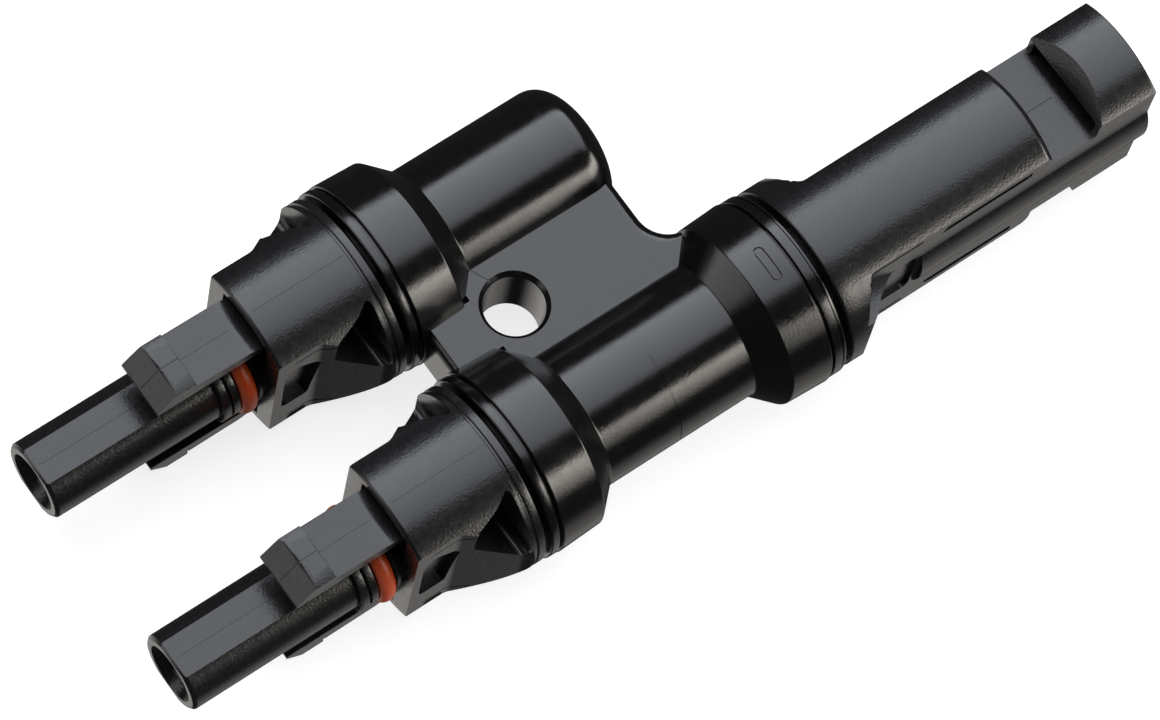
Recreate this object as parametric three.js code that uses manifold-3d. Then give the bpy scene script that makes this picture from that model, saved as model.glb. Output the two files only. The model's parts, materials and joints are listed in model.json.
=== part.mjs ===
// Y-branch connector for solar cables: two sprung socket branches side by side, moulded
// together with one pin branch. Millimetres, +Z up. While it is built, X runs from the tips
// of the socket probes to the mouth of the pin shell, Y from the main to the side branch,
// and Z = 0 is the plane that holds both branch axes. The last lines centre it on the ground.

import * as THREE from 'three';
import { mergeVertices } from 'three/addons/utils/BufferGeometryUtils.js';
import Module from 'manifold-3d';

const wasm = await Module();
wasm.setup();

// ---- driving dimensions -------------------------------------------------------------

const GAP = 0.3; // clearance between neighbouring pieces
const SPACING = 21.6; // between the two branch axes
const FINE = 40; // segments round the large visible surfaces
const MEDIUM = 24; // segments round probes, bores and seals
const COARSE = 12; // segments round the pieces inside

// overmoulded body
const BODY_START = 34.9;
const BODY_END = 67.9;
const COLLAR_R = 9.45; // largest radius of a collar, beside its groove
const COLLAR_EDGE_R = 9.25; // radius where the collar's chamfer starts
const RING_R = 9.35;
const RING_EDGE = 0.15; // chamfer on the ring's open edge
const GROOVE_R = 9.0;
const TUBE_R = 6.86;
const SOCKET_RING_END = 35.75;
const PIN_RING_START = 66.6;
const SOCKET_COLLAR_END = 40.7;
const SOCKET_CHAMFER_END = 43.2;
const PIN_CHAMFER_START = 59.4;
const PIN_COLLAR_START = 61.9;
const INSERT_BORE_R = 7.6;
const SOCKET_BORE_END = 41;
const PIN_BORE_START = 63.7;
const CABLE_BORE_R = 2.9;
const DOME_START = 57.4; // where the side tube starts to round off
const DOME_LENGTH = 3.6;
const DOME_POWER = 2.4; // squareness of the dome's outline
const WEB_HALF = 3.7;
const WEB_START = 36.5;
const WEB_END = 59.4;
const WEB_FILLET_R = 3.2;
const WEB_EDGE = 1.1; // rounding of the web's upper and lower edges
const EYE_X = 44.8; // hanging eye through the web
const EYE_Y = 10.9;
const EYE_R = 2.9;
const EYE_LIP = 0.35;

// moulded inserts
const INSERT_R = 9.2; // radius of the socket grips
const FLAT_HALF = 5.35; // half width across the side flats
const GRIP_START = 22.4;
const GRIP_END = 34.3;
const NECK_R = 7.3; // neck that the body is moulded over
const SOCKET_NECK_END = 40.7;
const GRIP_LINE = 33.2; // fine line round the back of the grip
const LINE_DEPTH = 0.2;
const GRIP_RAMP_START = 26.8; // each flat runs out to the full radius from here
const GRIP_RAMP_END = 33.2;
const BUTTRESS_HALF = 3.6; // half height of the buttress on each side
const FRONT_HOLLOW_START = 23.9;
const FRONT_HOLLOW_END = 26.6;
const REAR_HOLLOW_START = 28;
const REAR_HOLLOW_END = 32.8;
const REAR_HOLLOW_TOP = 6.4;
const HOLLOW_FLOOR = 4.2; // y of the hollows' floors

// probe in front of each grip
const PROBE_R = 3.84;
const PROBE_FLAT = 3.32; // height of the flats above and below
const TIP_CHAMFER = 0.45;
const PROBE_MOUTH_R = 2.3;
const MOUTH_RIM_R = 2.9; // the mouth's lead-in at the tip
const MOUTH_DEPTH = 2.3;
const CONTACT_BORE_R = 3.0;
const FLANGE_START = 17.7;
const FLANGE_LENGTH = 0.8;
const FLANGE_LINE = 0.25; // width of the line between the two flanges
const FLANGE_R = 4.4;
const FLANGE_LINE_R = 4.05;
const HUB_START = 21.95;
const SEAL_GROOVE_START = 19.5;
const SEAL_GROOVE_END = 21.45;
const SEAL_GROOVE_R = 3.5;
const SEAL_OUTER_R = 4.95;
const HUB_R = 3.9;
const CAVITY_HALF = 3.4; // half width of the grip's open front
const CAVITY_R = 8.2;
const CAVITY_END = 26;
const KEY_TOP = 5.6;
const KEY_HALF = 2.1;

// snap arms
const ARM_HALF = 2.85;
const ARM_INNER = 6.6;
const ARM_OUTER = 8.05;
const ARM_TIP = 11.1;
const ARM_TIP_TOP = 6.95;
const BARB_FACET_END = 13.3; // the barb's sloping front ends here
const BARB_END = 15.2;
const BARB_TOP = 9.0;
const ARM_DIP = 21.1; // where the arm thins down to its root
const HINGE_X = 22; // the line that an arm bends about, in the middle of its root
const HINGE_Z = 6.95;
const ROOT_TOP = 2 * HINGE_Z - ARM_INNER;

// pin shell
const SHELL_START = 68.6;
const SHELL_END = 105.4;
const SHELL_R = 9.15;
const SHELL_NECK_START = 64;
const RIM_CHAMFER = 0.25;
const RIDGE_R = 6.1; // round ridge along each side
const CORE_TOP = 5.45; // flat top of the core, seen as the window's floor
const WINDOW_START = 93.5;
const WINDOW_END = 98.8;
const CHANNEL_HALF = 4.5; // channel that a mating arm slides in
const CHANNEL_TOP = 7.2;
const FACET_END = 100.2; // the bridge's rear edge slopes up from the channel to here
const SOCKET_R = 5.05;
const SOCKET_FLOOR = 82.4;
const BULKHEAD_START = 78;
const SLOT_START = 80.8;
const SLOT_END = 91.2;
const SLOT_LOW = 5.7;
const SLOT_HIGH = 6.6;
const SHOULDER_START = 70;
const SHOULDER_END = 72.4;
const SHELL_RAMP_END = 75.4;
const RECESS_START = 71.8;
const RECESS_END = 78.6;

// contacts, conductors and splice
const CONTACT_R = 2.7;
const CONTACT_START = 2.6;
const BARREL_END = 14; // end of the sprung barrel that takes a mating pin
const BARREL_BORE_R = 2.4;
const BARREL_FLOOR = 12.8;
const WAIST_R = 2.1;
const CRIMP_START = 25.8;
const CRIMP_FLOOR = 27;
const CRIMP_R = 2.3;
const CRIMP_BORE_R = 1.5;
const CRIMP_END = 33;
const BAND_START = 4.2; // spring band inside the barrel
const BAND_END = 11.4;
const BAND_OUTER_R = 2.12;
const BAND_INNER_R = 1.95;
const CLIP_LENGTH = 2.6;
const SOCKET_CLIP_START = 21.5;
const PIN_CLIP_START = 73;
const WIRE_R = 1.2;
const WIRE_START = 27.5;
const MAIN_JACKET_END = 55.2;
const JACKET_R = 2.6;
const PIN_R = 2;
const PIN_TIP = 100.6;
const PIN_CRIMP_START = 68;
const PIN_CRIMP_END = 74.6;
const FERRULE_START = 58.2;
const FERRULE_END = 63.2;
const SPLICE_OFFSET = 2.7; // side wire beside the through wire in the ferrule
const JACKET_BORE_R = 1.45;
const THROUGH_WIRE_END = 73;
const SIDE_JACKET_LOW = 6.2; // y where the side cable's jacket is stripped

// ---- materials ----------------------------------------------------------------------

const finishes = {
  overmould: [0x0a0a0b, 0.16, 0],
  housing: [0x111214, 0.42, 0],
  silicone: [0xb5401c, 0.45, 0],
  contact: [0xb9b6ae, 0.3, 1],
  clip: [0xa8a9ab, 0.35, 1],
  copper: [0xb0683c, 0.35, 1],
  jacket: [0x18191b, 0.55, 0],
};

function finish(name) {
  const [color, roughness, metalness] = finishes[name];
  const material = new THREE.MeshStandardMaterial({ color, roughness, metalness });
  material.name = name;
  return material;
}

// ---- solid helpers ------------------------------------------------------------------

function signedVolume(geometry) {
  const index = geometry.index;
  const position = geometry.attributes.position;
  const corner = [new THREE.Vector3(), new THREE.Vector3(), new THREE.Vector3()];
  let volume = 0;
  for (let i = 0; i < index.count; i += 3) {
    corner.forEach((point, k) => point.fromBufferAttribute(position, index.getX(i + k)));
    volume += corner[0].dot(corner[1].cross(corner[2])) / 6;
  }
  return volume;
}

// A closed three.js geometry becomes a solid that boolean operations can use.
function solid(geometry) {
  const bare = geometry.clone();
  bare.deleteAttribute('normal');
  bare.deleteAttribute('uv');
  const merged = mergeVertices(bare, 1e-4);
  const triangles = Uint32Array.from(merged.index.array);
  if (signedVolume(merged) < 0) {
    for (let i = 0; i < triangles.length; i += 3) {
      [triangles[i + 1], triangles[i + 2]] = [triangles[i + 2], triangles[i + 1]];
    }
  }
  const mesh = new wasm.Mesh({
    numProp: 3,
    vertProperties: Float32Array.from(merged.attributes.position.array),
    triVerts: triangles,
  });
  mesh.merge();
  return new wasm.Manifold(mesh);
}

// Turns an outline of [x, radius] pairs about the X axis.
function turned(outline, segments) {
  const points = outline.map(([x, r]) => new THREE.Vector2(r, x));
  const geometry = new THREE.LatheGeometry(points, segments);
  geometry.rotateZ(-Math.PI / 2);
  return solid(geometry);
}

function rod(start, end, radius, segments = COARSE) {
  return turned([[start, 0], [start, radius], [end, radius], [end, 0]], segments);
}

function ring(start, end, inner, outer, segments = COARSE) {
  const outline = [[start, inner], [start, outer], [end, outer], [end, inner], [start, inner]];
  return turned(outline, segments);
}

function block([x0, x1], [y0, y1], [z0, z1]) {
  const geometry = new THREE.BoxGeometry(x1 - x0, y1 - y0, z1 - z0);
  geometry.translate((x0 + x1) / 2, (y0 + y1) / 2, (z0 + z1) / 2);
  return solid(geometry);
}

function extruded(shape, length) {
  return new THREE.ExtrudeGeometry(shape, { depth: length, bevelEnabled: false, curveSegments: 8 });
}

// An outline drawn in plan, [x, y], raised from z0 to z1.
function planPrism(shape, z0, z1) {
  const geometry = extruded(shape, z1 - z0);
  geometry.translate(0, 0, z0);
  return solid(geometry);
}

// An outline drawn from the side, [x, z], made from y = -half to y = half.
function sidePrism(shape, half) {
  const geometry = extruded(shape, 2 * half);
  geometry.rotateX(Math.PI / 2);
  geometry.translate(0, half, 0);
  return solid(geometry);
}

function outlineShape(points) {
  return new THREE.Shape(points.map(([a, b]) => new THREE.Vector2(a, b)));
}

// A round bar that follows a curve.
function routed(curve, radius, steps, sides) {
  const section = new THREE.Shape();
  section.absarc(0, 0, radius, 0, 2 * Math.PI);
  const geometry = new THREE.ExtrudeGeometry(section, {
    extrudePath: curve,
    steps,
    curveSegments: sides,
    bevelEnabled: false,
  });
  return solid(geometry);
}

function joined(...solids) {
  return solids.reduce((sum, part) => sum.add(part));
}

// Both copies of a cut or feature that is repeated on the two sides, y and -y.
function bothSides(part) {
  return part.add(part.mirror([0, 1, 0]));
}

// Both copies of a feature that is repeated above and below, z and -z.
function aboveAndBelow(part) {
  return part.add(part.mirror([0, 0, 1]));
}

function node(name, part, finishName) {
  const mesh = part.getMesh();
  const geometry = new THREE.BufferGeometry();
  const positions = Float32Array.from(mesh.vertProperties);
  const triangles = Uint32Array.from(mesh.triVerts);
  geometry.setAttribute('position', new THREE.BufferAttribute(positions, 3));
  geometry.setIndex(new THREE.BufferAttribute(triangles, 1));
  geometry.computeVertexNormals();
  const result = new THREE.Mesh(geometry, finish(finishName));
  result.name = name;
  return result;
}

// ---- overmoulded body ---------------------------------------------------------------

// Outline from the open end of a socket collar to the start of its tube.
function socketCollarOutline() {
  return [
    [BODY_START, 0],
    [BODY_START, RING_R - RING_EDGE],
    [BODY_START + RING_EDGE, RING_R],
    [SOCKET_RING_END, RING_R],
    [SOCKET_RING_END + 0.05, GROOVE_R],
    [SOCKET_RING_END + 0.3, GROOVE_R],
    [SOCKET_RING_END + 0.4, COLLAR_R],
    [SOCKET_COLLAR_END, COLLAR_EDGE_R],
    [SOCKET_CHAMFER_END, TUBE_R],
  ];
}

function pinCollarOutline() {
  return [
    [PIN_CHAMFER_START, TUBE_R],
    [PIN_COLLAR_START, COLLAR_EDGE_R],
    [PIN_RING_START - 0.4, COLLAR_R],
    [PIN_RING_START - 0.3, GROOVE_R],
    [PIN_RING_START - 0.05, GROOVE_R],
    [PIN_RING_START, RING_R],
    [BODY_END - RING_EDGE, RING_R],
    [BODY_END, RING_R - RING_EDGE],
    [BODY_END, 0],
  ];
}

function domeOutline() {
  const outline = [];
  const steps = 8;
  const crowding = 0.6; // brings the points closer together towards the tip
  for (let i = 0; i < steps; i += 1) {
    const along = (i / steps) ** crowding;
    const radius = TUBE_R * (1 - along ** DOME_POWER) ** (1 / DOME_POWER);
    outline.push([DOME_START + DOME_LENGTH * along, radius]);
  }
  outline.push([DOME_START + DOME_LENGTH, 0]);
  return outline;
}

function webShape() {
  const shape = new THREE.Shape();
  const collarSide = COLLAR_EDGE_R - 0.6;
  const filletX = WEB_END + WEB_FILLET_R;
  shape.moveTo(WEB_START, 0);
  shape.lineTo(filletX, 0);
  shape.lineTo(filletX, collarSide);
  shape.absarc(filletX, collarSide + WEB_FILLET_R, WEB_FILLET_R, -Math.PI / 2, -Math.PI, true);
  shape.lineTo(WEB_END, SPACING);
  shape.lineTo(WEB_START, SPACING);
  return shape;
}

// The web, with its upper and lower edges rounded.
function roundedWeb() {
  const geometry = new THREE.ExtrudeGeometry(webShape(), {
    depth: 2 * (WEB_HALF - WEB_EDGE),
    bevelThickness: WEB_EDGE,
    bevelSize: WEB_EDGE,
    bevelOffset: -WEB_EDGE,
    bevelSegments: 3,
    curveSegments: 8,
  });
  geometry.translate(0, 0, WEB_EDGE - WEB_HALF);
  return solid(geometry);
}

function hangingEye() {
  const above = WEB_HALF + 1;
  const mouth = EYE_R + EYE_LIP;
  const outline = [
    [-above, 0],
    [-above, mouth],
    [-WEB_HALF, mouth],
    [-WEB_HALF + EYE_LIP, EYE_R],
    [WEB_HALF - EYE_LIP, EYE_R],
    [WEB_HALF, mouth],
    [above, mouth],
    [above, 0],
  ];
  return turned(outline, MEDIUM).rotate([0, 90, 0]).translate([EYE_X, EYE_Y, 0]);
}

// Route of the side cable inside the web, between the eye and the web's edge. The stretch
// starts at startX and ends where the cable comes closer than lowY to the main axis.
function sideRoute(startX, lowY = 0) {
  const bend = [
    [46.5, SPACING],
    [50.4, 20.4],
    [52.8, 16.6],
    [53.4, 11.6],
    [54.2, 6.8],
    [56.6, 3.5],
    [FERRULE_START + 0.6, SPLICE_OFFSET],
  ];
  const route = [[WIRE_START, SPACING], ...bend, [FERRULE_END - 0.4, SPLICE_OFFSET]];
  const points = route.map(([x, y]) => new THREE.Vector3(x, y, 0));
  const whole = new THREE.CatmullRomCurve3(points, false, 'centripetal');
  const stretch = whole.getSpacedPoints(60).filter(({ x, y }) => x >= startX && y >= lowY);
  return new THREE.CatmullRomCurve3(stretch);
}

// Rounded slot section that holds the two wires of the splice.
function spliceBar(start, end, radius) {
  const lower = rod(start, end, radius);
  const upper = lower.translate([0, SPLICE_OFFSET, 0]);
  const between = block([start, end], [0, SPLICE_OFFSET], [-radius, radius]);
  return joined(lower, upper, between);
}

function overmouldedBody() {
  const main = turned([...socketCollarOutline(), ...pinCollarOutline()], FINE);
  const side = turned([...socketCollarOutline(), ...domeOutline()], FINE).translate([0, SPACING, 0]);
  const web = roundedWeb();
  const outside = joined(main, side, web).subtract(hangingEye());

  const socketBore = rod(BODY_START - 1, SOCKET_BORE_END, INSERT_BORE_R, MEDIUM);
  const pinBore = rod(PIN_BORE_START, BODY_END + 1, INSERT_BORE_R, MEDIUM);
  const mainPassage = rod(SOCKET_BORE_END - 1, FERRULE_START, CABLE_BORE_R);
  const splicePassage = spliceBar(FERRULE_START - GAP, PIN_BORE_START + 1, JACKET_R);
  const sidePassage = routed(sideRoute(SOCKET_BORE_END - 1), CABLE_BORE_R, 18, 5);
  const cuts = [
    socketBore,
    socketBore.translate([0, SPACING, 0]),
    pinBore,
    mainPassage,
    splicePassage,
    sidePassage,
  ];
  return cuts.reduce((rest, cut) => rest.subtract(cut), outside);
}

// ---- socket branch ------------------------------------------------------------------

// Material taken off one side of a grip, leaving its flat and the ramp up to the full radius.
function gripSideCut() {
  const far = INSERT_R + 1;
  const ramp = [
    [GRIP_START - 1, FLAT_HALF],
    [GRIP_RAMP_START - 0.8, FLAT_HALF],
    [GRIP_RAMP_START + 0.7, FLAT_HALF + 0.4],
    [GRIP_RAMP_END - 0.8, INSERT_R - 0.75],
    [GRIP_RAMP_END, INSERT_R],
    [GRIP_RAMP_END, far],
    [GRIP_START - 1, far],
  ];
  return planPrism(outlineShape(ramp), -INSERT_R, INSERT_R);
}

// Shallow hollows in the flat side of a grip, one ahead of the buttress and one over it.
function gripHollows() {
  const far = FLAT_HALF + 1;
  const frontHalf = BUTTRESS_HALF - 0.4;
  const frontLength = [FRONT_HOLLOW_START, FRONT_HOLLOW_END];
  const rearLength = [REAR_HOLLOW_START, REAR_HOLLOW_END];
  const front = block(frontLength, [HOLLOW_FLOOR, far], [-frontHalf, frontHalf]);
  const rear = block(rearLength, [HOLLOW_FLOOR, far], [BUTTRESS_HALF, REAR_HOLLOW_TOP]);
  return front.add(aboveAndBelow(rear));
}

function probe() {
  const lineStart = FLANGE_START + FLANGE_LENGTH;
  const outline = [
    [0, 0],
    [0, PROBE_R - TIP_CHAMFER],
    [TIP_CHAMFER, PROBE_R],
    [FLANGE_START, PROBE_R],
    [FLANGE_START, FLANGE_R],
    [lineStart, FLANGE_R],
    [lineStart, FLANGE_LINE_R],
    [lineStart + FLANGE_LINE, FLANGE_LINE_R],
    [lineStart + FLANGE_LINE, FLANGE_R],
    [SEAL_GROOVE_START, FLANGE_R],
    [SEAL_GROOVE_START, SEAL_GROOVE_R],
    [SEAL_GROOVE_END, SEAL_GROOVE_R],
    [SEAL_GROOVE_END, FLANGE_R],
    [HUB_START, FLANGE_R],
    [HUB_START, HUB_R],
    [CAVITY_END + 1, HUB_R],
    [CAVITY_END + 1, 0],
  ];
  const body = turned(outline, MEDIUM);
  const flat = block([-1, FLANGE_START - 0.4], [-PROBE_R, PROBE_R], [PROBE_FLAT, PROBE_R + 1]);
  return body.subtract(aboveAndBelow(flat));
}

function gripBlank() {
  const lineR = INSERT_R - LINE_DEPTH;
  const outline = [
    [GRIP_START, 0],
    [GRIP_START, INSERT_R],
    [GRIP_LINE, INSERT_R],
    [GRIP_LINE + 0.1, lineR],
    [GRIP_LINE + 0.3, lineR],
    [GRIP_LINE + 0.4, INSERT_R],
    [GRIP_END - LINE_DEPTH, INSERT_R],
    [GRIP_END, lineR],
    [GRIP_END, NECK_R],
    [SOCKET_NECK_END, NECK_R],
    [SOCKET_NECK_END, 0],
  ];
  return turned(outline, FINE);
}

function socketHousing() {
  const front = GRIP_START - 1;
  const openFront = rod(front, CAVITY_END, CAVITY_R, MEDIUM).intersect(
    block([front, CAVITY_END], [-CAVITY_HALF, CAVITY_HALF], [-INSERT_R, INSERT_R]),
  );
  const armWidth = [-ARM_HALF, ARM_HALF];
  const armRoot = block([HINGE_X + GAP, CAVITY_END + 1], armWidth, [ARM_INNER, ROOT_TOP]);
  const keyWidth = [-KEY_HALF, KEY_HALF];
  const key = block([FLANGE_START + 0.2, SEAL_GROOVE_START], keyWidth, [PROBE_FLAT - 0.5, KEY_TOP]);
  const grip = gripBlank().subtract(openFront).subtract(bothSides(gripSideCut()));
  const outside = joined(grip.subtract(bothSides(gripHollows())), probe(), aboveAndBelow(armRoot.add(key)));
  const mouth = turned(
    [
      [-1, 0],
      [-1, MOUTH_RIM_R],
      [0, MOUTH_RIM_R],
      [1, PROBE_MOUTH_R],
      [MOUTH_DEPTH, PROBE_MOUTH_R],
      [MOUTH_DEPTH, CONTACT_BORE_R],
      [SOCKET_NECK_END + 1, CONTACT_BORE_R],
      [SOCKET_NECK_END + 1, 0],
    ],
    MEDIUM,
  );
  return outside.subtract(mouth);
}

// The arm above the probe. The one below is its mirror image.
function latchArm() {
  const outline = [
    [ARM_TIP, ARM_INNER],
    [ARM_TIP, ARM_TIP_TOP],
    [ARM_TIP + 0.1, ARM_TIP_TOP + 0.2],
    [BARB_FACET_END - 0.2, BARB_TOP - 0.3],
    [BARB_FACET_END, BARB_TOP - 0.13],
    [BARB_END - 0.25, BARB_TOP],
    [BARB_END - 0.05, BARB_TOP - 0.1],
    [BARB_END, ARM_OUTER],
    [ARM_DIP, ARM_OUTER],
    [HINGE_X - 0.35, ROOT_TOP],
    [HINGE_X, ROOT_TOP],
    [HINGE_X, ARM_INNER],
  ];
  const arm = sidePrism(outlineShape(outline), ARM_HALF);
  return arm.intersect(rod(0, GRIP_START, INSERT_R - 0.05, FINE));
}

function probeSeal() {
  const inner = SEAL_GROOVE_R + GAP;
  const middle = (inner + SEAL_OUTER_R) / 2;
  const half = (SEAL_OUTER_R - inner) / 2;
  const centre = (SEAL_GROOVE_START + SEAL_GROOVE_END) / 2;
  const halfLength = (SEAL_GROOVE_END - SEAL_GROOVE_START) / 2 - GAP / 2;
  const outline = [];
  const steps = 8;
  for (let i = 0; i <= steps; i += 1) {
    const angle = (2 * Math.PI * i) / steps;
    outline.push([centre + halfLength * Math.cos(angle), middle + half * Math.sin(angle)]);
  }
  return turned(outline, MEDIUM);
}

function socketContact() {
  const shoulderStart = CRIMP_START - 1.2;
  const outline = [
    [CONTACT_START, BARREL_BORE_R],
    [CONTACT_START, CONTACT_R],
    [BARREL_END, CONTACT_R],
    [BARREL_END + 0.6, WAIST_R],
    [shoulderStart, WAIST_R],
    [shoulderStart, CONTACT_R],
    [CRIMP_START, CONTACT_R],
    [CRIMP_START, CRIMP_R],
    [CRIMP_END, CRIMP_R],
    [CRIMP_END, CRIMP_BORE_R],
    [CRIMP_FLOOR, CRIMP_BORE_R],
    [CRIMP_FLOOR, 0],
    [BARREL_FLOOR, 0],
    [BARREL_FLOOR, BARREL_BORE_R],
    [CONTACT_START, BARREL_BORE_R],
  ];
  return turned(outline, COARSE);
}

// Thin band that grips a mating pin.
function springBand() {
  return ring(BAND_START, BAND_END, BAND_INNER_R, BAND_OUTER_R);
}

// Clip that holds a contact in its housing.
function retainingClip(start) {
  return ring(start, start + CLIP_LENGTH, WAIST_R + GAP, CONTACT_BORE_R - GAP);
}

function socketBranch(branch) {
  const group = new THREE.Group();
  group.add(node(`socket_housing_${branch}`, socketHousing(), 'housing'));
  group.add(node(`latch_arm_${branch}_top`, latchArm(), 'housing'));
  group.add(node(`latch_arm_${branch}_bottom`, latchArm().mirror([0, 0, 1]), 'housing'));
  group.add(node(`probe_seal_${branch}`, probeSeal(), 'silicone'));
  group.add(node(`socket_contact_${branch}`, socketContact(), 'contact'));
  group.add(node(`spring_band_${branch}`, springBand(), 'contact'));
  group.add(node(`retaining_clip_${branch}`, retainingClip(SOCKET_CLIP_START), 'clip'));
  return group;
}

// ---- pin branch ---------------------------------------------------------------------

function shellBlank() {
  const outline = [
    [SHELL_NECK_START, 0],
    [SHELL_NECK_START, NECK_R],
    [SHELL_START, NECK_R],
    [SHELL_START, INSERT_R - LINE_DEPTH],
    [SHELL_START + LINE_DEPTH, INSERT_R],
    [SHOULDER_START, INSERT_R],
    [SHELL_END - RIM_CHAMFER, SHELL_R],
    [SHELL_END, SHELL_R - RIM_CHAMFER],
    [SHELL_END, 0],
  ];
  return turned(outline, FINE);
}

// Material taken off one side of the shell: a sloping shoulder, the buttress's ramp and the flat.
function shellSideCut() {
  const far = INSERT_R + 1;
  const flatEnd = SHELL_END + 1;
  const shoulder = [
    [SHOULDER_START, INSERT_R],
    [SHOULDER_END, FLAT_HALF],
    [flatEnd, FLAT_HALF],
    [flatEnd, far],
    [SHOULDER_START, far],
  ];
  const ramp = [
    [SHOULDER_START + 0.2, INSERT_R],
    [SHOULDER_END - 0.2, FLAT_HALF + 2.4],
    [SHELL_RAMP_END - 1.6, FLAT_HALF + 0.8],
    [SHELL_RAMP_END, FLAT_HALF],
    [flatEnd, FLAT_HALF],
    [flatEnd, far],
    [SHOULDER_START + 0.2, far],
  ];
  const middle = planPrism(outlineShape(ramp), -BUTTRESS_HALF, BUTTRESS_HALF);
  const upper = planPrism(outlineShape(shoulder), BUTTRESS_HALF, INSERT_R);
  return middle.add(aboveAndBelow(upper));
}

// Narrow slots near the top and bottom of the flat, and a shallow recess behind the buttress.
function shellRecesses() {
  const far = FLAT_HALF + 1;
  const recessHalf = BUTTRESS_HALF - 0.2;
  const slot = block([SLOT_START, SLOT_END], [FLAT_HALF - 1.6, far], [SLOT_LOW, SLOT_HIGH]);
  const line = block([RECESS_START, RECESS_END], [FLAT_HALF - 1, far], [SLOT_HIGH - 0.05, SLOT_HIGH + 0.35]);
  const hollow = block([SHELL_RAMP_END, RECESS_END], [FLAT_HALF - 0.9, far], [-recessHalf, recessHalf]);
  return joined(aboveAndBelow(slot.add(line)), hollow);
}

function armChannels() {
  const far = INSERT_R + 1;
  const channelWidth = [-CHANNEL_HALF, CHANNEL_HALF];
  const channel = block([WINDOW_START - 0.5, SHELL_END + 1], channelWidth, [CORE_TOP, CHANNEL_TOP]);
  const window = block([WINDOW_START, WINDOW_END], [-far, far], [CORE_TOP, far]);
  const facet = [
    [WINDOW_END - 0.1, CHANNEL_TOP],
    [WINDOW_END, CHANNEL_TOP],
    [FACET_END, SHELL_R],
    [FACET_END, far],
    [WINDOW_END - 0.1, far],
  ];
  return aboveAndBelow(joined(channel, window, sidePrism(outlineShape(facet), far)));
}

function pinHousing() {
  const mouthR = SOCKET_R + RIM_CHAMFER;
  const ridge = rod(RECESS_END + 0.4, SHELL_END, RIDGE_R, FINE).intersect(
    block([RECESS_END, SHELL_END + 1], [-RIDGE_R, RIDGE_R], [-CORE_TOP, CORE_TOP]),
  );
  const shell = shellBlank().subtract(bothSides(shellSideCut())).subtract(bothSides(shellRecesses()));
  const outside = shell.subtract(armChannels()).add(ridge);
  const inside = turned(
    [
      [SHELL_NECK_START - 1, 0],
      [SHELL_NECK_START - 1, CONTACT_BORE_R],
      [BULKHEAD_START, CONTACT_BORE_R],
      [BULKHEAD_START, PIN_R + GAP],
      [SOCKET_FLOOR, PIN_R + GAP],
      [SOCKET_FLOOR, SOCKET_R],
      [SHELL_END - 2 * RIM_CHAMFER, SOCKET_R],
      [SHELL_END, mouthR],
      [SHELL_END + 1, mouthR],
      [SHELL_END + 1, 0],
    ],
    MEDIUM,
  );
  return outside.subtract(inside);
}

function pinContact() {
  const shoulderStart = BULKHEAD_START - 2;
  const shoulderEnd = BULKHEAD_START - GAP;
  const crimpFloor = THROUGH_WIRE_END + 0.5;
  const outline = [
    [PIN_CRIMP_START, CRIMP_BORE_R],
    [PIN_CRIMP_START, CRIMP_R],
    [PIN_CRIMP_END, CRIMP_R],
    [PIN_CRIMP_END, WAIST_R],
    [shoulderStart, WAIST_R],
    [shoulderStart, CONTACT_R],
    [shoulderEnd, CONTACT_R],
    [shoulderEnd, PIN_R],
    [PIN_TIP - 1, PIN_R],
    [PIN_TIP - 0.3, PIN_R - 0.6],
    [PIN_TIP, 0],
    [crimpFloor, 0],
    [crimpFloor, CRIMP_BORE_R],
    [PIN_CRIMP_START, CRIMP_BORE_R],
  ];
  return turned(outline, COARSE);
}

// ---- conductors and splice ----------------------------------------------------------

function branchWire() {
  return routed(sideRoute(WIRE_START), WIRE_R, 24, 4);
}

function sideJacket() {
  const tube = routed(sideRoute(CRIMP_END + GAP, SIDE_JACKET_LOW), JACKET_R, 16, 5);
  const hollow = routed(sideRoute(WIRE_START), JACKET_BORE_R, 24, 4);
  return tube.subtract(hollow);
}

function ferrule() {
  const outside = spliceBar(FERRULE_START, FERRULE_END, JACKET_R - GAP);
  return outside.subtract(spliceBar(FERRULE_START - 1, FERRULE_END + 1, JACKET_BORE_R));
}

function conductors() {
  const group = new THREE.Group();
  const mainJacket = ring(CRIMP_END + GAP, MAIN_JACKET_END, JACKET_BORE_R, JACKET_R);
  const pinJacket = ring(FERRULE_END + 0.9, PIN_CRIMP_START - GAP, JACKET_BORE_R, JACKET_R);
  group.add(node('through_wire', rod(WIRE_START, THROUGH_WIRE_END, WIRE_R), 'copper'));
  group.add(node('branch_wire', branchWire(), 'copper'));
  group.add(node('wire_jacket_main', mainJacket, 'jacket'));
  group.add(node('wire_jacket_side', sideJacket(), 'jacket'));
  group.add(node('wire_jacket_pin', pinJacket, 'jacket'));
  group.add(node('splice_ferrule', ferrule(), 'contact'));
  return group;
}

// ---- assembly -----------------------------------------------------------------------

const connector = new THREE.Group();
connector.add(node('y_body', overmouldedBody(), 'overmould'));

const branches = new Map([['main', 0], ['side', SPACING]]);
for (const [branch, offset] of branches) {
  const socket = socketBranch(branch);
  socket.position.y = offset;
  connector.add(socket);
}

connector.add(node('pin_housing', pinHousing(), 'housing'));
connector.add(node('pin_contact', pinContact(), 'contact'));
connector.add(node('retaining_clip_pin', retainingClip(PIN_CLIP_START), 'clip'));
connector.add(conductors());

connector.position.set(-SHELL_END / 2, -SPACING / 2, COLLAR_R);

export default connector;
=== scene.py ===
"""Looks of a solar cable branch connector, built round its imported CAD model.

Shapes are made in millimetres in the connector's own layout: x runs from the probe tips to the
mouth of the pin shell, y from the main branch to the side branch, and z = 0 is the plane of both
branch axes. place() then turns each piece into metres and moves it into the frame.
"""

import json
import math

import bmesh
import bpy
from mathutils import Matrix, Vector

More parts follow.
